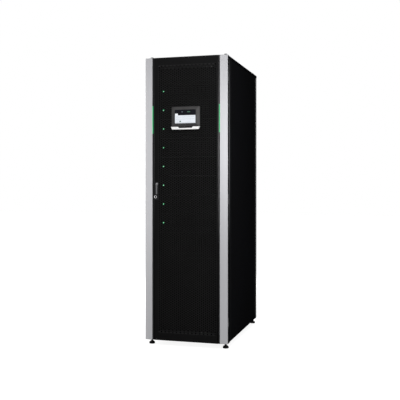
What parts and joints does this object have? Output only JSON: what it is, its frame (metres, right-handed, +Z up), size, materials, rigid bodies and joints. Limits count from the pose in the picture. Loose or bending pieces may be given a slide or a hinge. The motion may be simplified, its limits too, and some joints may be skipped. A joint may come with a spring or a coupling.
{
  "type": "modular uninterruptible power supply cabinet",
  "caption": "Floor-standing modular UPS cabinet with a hinged perforated front door, slanted aluminium edge trims, touch display, swing handle and levelling feet.",
  "frame": {"origin": "on the floor, at the middle of the overall width and depth", "axes": "+Z up; -Y out of the front door; +X to the right of someone facing the door"},
  "size_m": [0.6, 1.0256, 2.0455],
  "materials": {
    "panel_paint": "fine-textured black powder coat",
    "frame_paint": "satin black powder coat",
    "door_paint": "black powder coat on perforated sheet",
    "module_paint": "dark grey powder coat",
    "trim_aluminium": "satin anodised",
    "bolt_steel": "black zinc",
    "handle_metal": "satin grey die casting",
    "black_plastic": "fine texture",
    "white_plastic": "smooth white",
    "foot_rubber": "moulded black",
    "display_glass": "lit touch screen behind clear glass",
    "green_light": "lit diffuser"
  },
  "bodies": {
    "cabinet": {"front_posts": "frame_paint", "rear_posts": "frame_paint", "base_rails": "frame_paint", "top_rails": "frame_paint", "floor_plate": "frame_paint", "levelling_feet": "foot_rubber", "side_panel_left": "panel_paint", "side_panel_right": "panel_paint", "rear_panel": "panel_paint", "roof": "panel_paint", "roof_gland_plate": "panel_paint", "roof_bolts": "bolt_steel", "rack_rails": "frame_paint", "bypass_module": "module_paint", "lower_cover": "panel_paint", "upper_cover": "panel_paint", "status_lamps": "green_light", "hinge_frame_leaves": "bolt_steel", "power_module_1": "module_paint", "power_module_2": "module_paint", "power_module_3": "module_paint", "power_module_4": "module_paint", "power_module_5": "module_paint", "power_module_6": "module_paint", "power_module_7": "module_paint", "power_module_8": "module_paint"},
    "front_door": {"door_left_stile": "panel_paint", "door_right_stile": "panel_paint", "door_top_rail": "panel_paint", "door_bottom_rail": "panel_paint", "door_panel": "door_paint", "trim_left": "trim_aluminium", "trim_right": "trim_aluminium", "light_channels": "black_plastic", "light_lenses": "green_light", "display_housing": "black_plastic", "display_glass": "display_glass", "display_lip": "white_plastic", "display_rear_box": "black_plastic", "handle_base": "black_plastic", "hinge_door_leaves": "bolt_steel"},
    "handle_hub": {"handle_hub": "handle_metal"},
    "handle_lever": {"handle_lever": "handle_metal"}
  },
  "joints": [
    {"name": "door_swing", "type": "hinge", "parent": "cabinet", "child": "front_door", "pos_m": [0.292, -0.46125, 1.035], "axis": [0, 0, 1], "range_deg": [0, 110]},
    {"name": "handle_turn", "type": "hinge", "parent": "front_door", "child": "handle_hub", "pos_m": [-0.21, -0.49625, 1.14], "axis": [0, -1, 0], "range_deg": [0, 90]},
    {"name": "handle_lift", "type": "hinge", "parent": "handle_hub", "child": "handle_lever", "pos_m": [-0.21, -0.50875, 1.14], "axis": [-1, 0, 0], "range_deg": [0, 40]}
  ]
}
